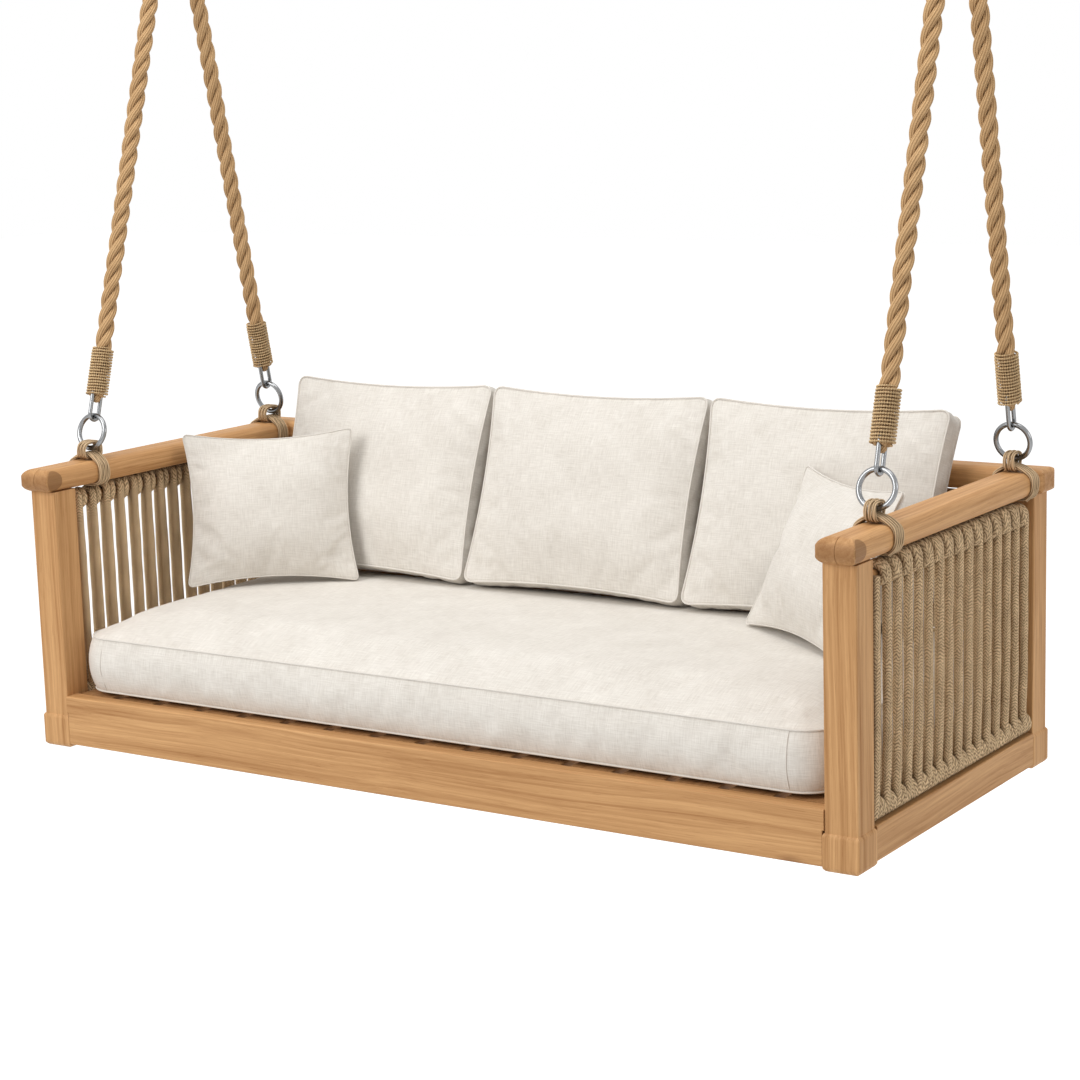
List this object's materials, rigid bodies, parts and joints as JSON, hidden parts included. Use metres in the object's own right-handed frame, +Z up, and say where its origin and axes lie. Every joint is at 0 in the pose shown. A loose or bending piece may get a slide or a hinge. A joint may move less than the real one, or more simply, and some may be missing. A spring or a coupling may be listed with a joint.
{
  "type": "hanging swing bed",
  "caption": "Wooden three-seat swing bed with rope-wound sides, loose seat and back cushions and throw pillows, hung from ceiling plates by twisted ropes, steel rings and links.",
  "frame": {"origin": "on the ceiling, midway between the two ceiling plates and so above the line that the bed swings about", "axes": "+X runs along the bed's width, to the right as one faces its front; -Y is the front, where one sits down; +Z is up"},
  "size_m": [2.0324, 0.904, 2.02],
  "materials": {
    "timber": "satin",
    "deck_timber": "satin",
    "linen": "matte",
    "hanging_rope": "matte",
    "jute_cord": "matte",
    "steel": "polished",
    "plate_steel": "satin"
  },
  "bodies": {
    "hangers": {"left_hanger": "plate_steel", "right_hanger": "plate_steel", "hanger_pins": "plate_steel"},
    "left_ring": {"left_upper_ring": "steel"},
    "right_ring": {"right_upper_ring": "steel"},
    "left_ropes": {"left_upper_links": "steel", "left_upper_whippings": "jute_cord", "front_left_rope": "hanging_rope", "front_left_lower_whipping": "jute_cord", "front_left_lower_link": "steel", "front_left_lower_ring": "steel", "back_left_rope": "hanging_rope", "back_left_lower_whipping": "jute_cord", "back_left_lower_link": "steel", "back_left_lower_ring": "steel"},
    "right_ropes": {"right_upper_links": "steel", "right_upper_whippings": "jute_cord", "front_right_rope": "hanging_rope", "front_right_lower_whipping": "jute_cord", "front_right_lower_link": "steel", "front_right_lower_ring": "steel", "back_right_rope": "hanging_rope", "back_right_lower_whipping": "jute_cord", "back_right_lower_link": "steel", "back_right_lower_ring": "steel"},
    "bed": {"front_left_post": "timber", "front_right_post": "timber", "back_left_post": "timber", "back_right_post": "timber", "front_rail": "timber", "back_rail": "timber", "back_top_rail": "timber", "back_boards": "deck_timber", "back_stiles": "deck_timber", "front_ledger": "deck_timber", "back_ledger": "deck_timber", "seat_slats": "deck_timber", "joint_dowels": "deck_timber", "left_side_rail": "timber", "left_arm": "timber", "left_top_dowel": "timber", "left_bottom_dowel": "timber", "left_rope_infill": "jute_cord", "right_side_rail": "timber", "right_arm": "timber", "right_top_dowel": "timber", "right_bottom_dowel": "timber", "right_rope_infill": "jute_cord", "front_left_lashing": "jute_cord", "front_right_lashing": "jute_cord", "back_left_lashing": "jute_cord", "back_right_lashing": "jute_cord"},
    "seat_cushion": {"seat_cushion": "linen"},
    "left_back_cushion": {"left_back_cushion": "linen"},
    "middle_back_cushion": {"middle_back_cushion": "linen"},
    "right_back_cushion": {"right_back_cushion": "linen"},
    "left_pillow": {"left_pillow": "linen"},
    "right_pillow": {"right_pillow": "linen"}
  },
  "joints": [
    {"name": "swing", "type": "hinge", "parent": "hangers", "child": "left_ring", "pos_m": [-0.962, 0, -0.04], "axis": [1, 0, 0], "range_deg": [-20, 20]},
    {"name": "right_swing", "type": "hinge", "parent": "hangers", "child": "right_ring", "pos_m": [0.962, 0, -0.04], "axis": [1, 0, 0], "range_deg": [-20, 20]},
    {"name": "sway", "type": "hinge", "parent": "left_ring", "child": "left_ropes", "pos_m": [-0.962, 0, -0.1045], "axis": [0, 1, 0], "range_deg": [-8, 8]},
    {"name": "right_sway", "type": "hinge", "parent": "right_ring", "child": "right_ropes", "pos_m": [0.962, 0, -0.1045], "axis": [0, 1, 0], "range_deg": [-8, 8]},
    {"name": "bed_level", "type": "hinge", "parent": "left_ropes", "child": "bed", "pos_m": [-0.962, 0, -1.336], "axis": [0, 1, 0], "range_deg": [-8, 8]},
    {"name": "seat_cushion_lift", "type": "slide", "parent": "bed", "child": "seat_cushion", "axis": [0, 0, 1], "range_m": [0, 0.28]},
    {"name": "left_back_cushion_lift", "type": "slide", "parent": "seat_cushion", "child": "left_back_cushion", "axis": [0, 0.342, 0.9397], "range_m": [0, 0.5]},
    {"name": "middle_back_cushion_lift", "type": "slide", "parent": "seat_cushion", "child": "middle_back_cushion", "axis": [0, 0.342, 0.9397], "range_m": [0, 0.5]},
    {"name": "right_back_cushion_lift", "type": "slide", "parent": "seat_cushion", "child": "right_back_cushion", "axis": [0, 0.342, 0.9397], "range_m": [0, 0.5]},
    {"name": "left_pillow_lift", "type": "slide", "parent": "seat_cushion", "child": "left_pillow", "axis": [0.3, -0.2, 0.9327], "range_m": [0, 0.5]},
    {"name": "right_pillow_lift", "type": "slide", "parent": "seat_cushion", "child": "right_pillow", "axis": [-0.3, -0.2, 0.9327], "range_m": [0, 0.5]}
  ],
  "couplings": [
    {"joint": "right_swing", "follows": "swing", "ratio": 1},
    {"joint": "right_sway", "follows": "sway", "ratio": 1},
    {"joint": "bed_level", "follows": "sway", "ratio": -1}
  ]
}
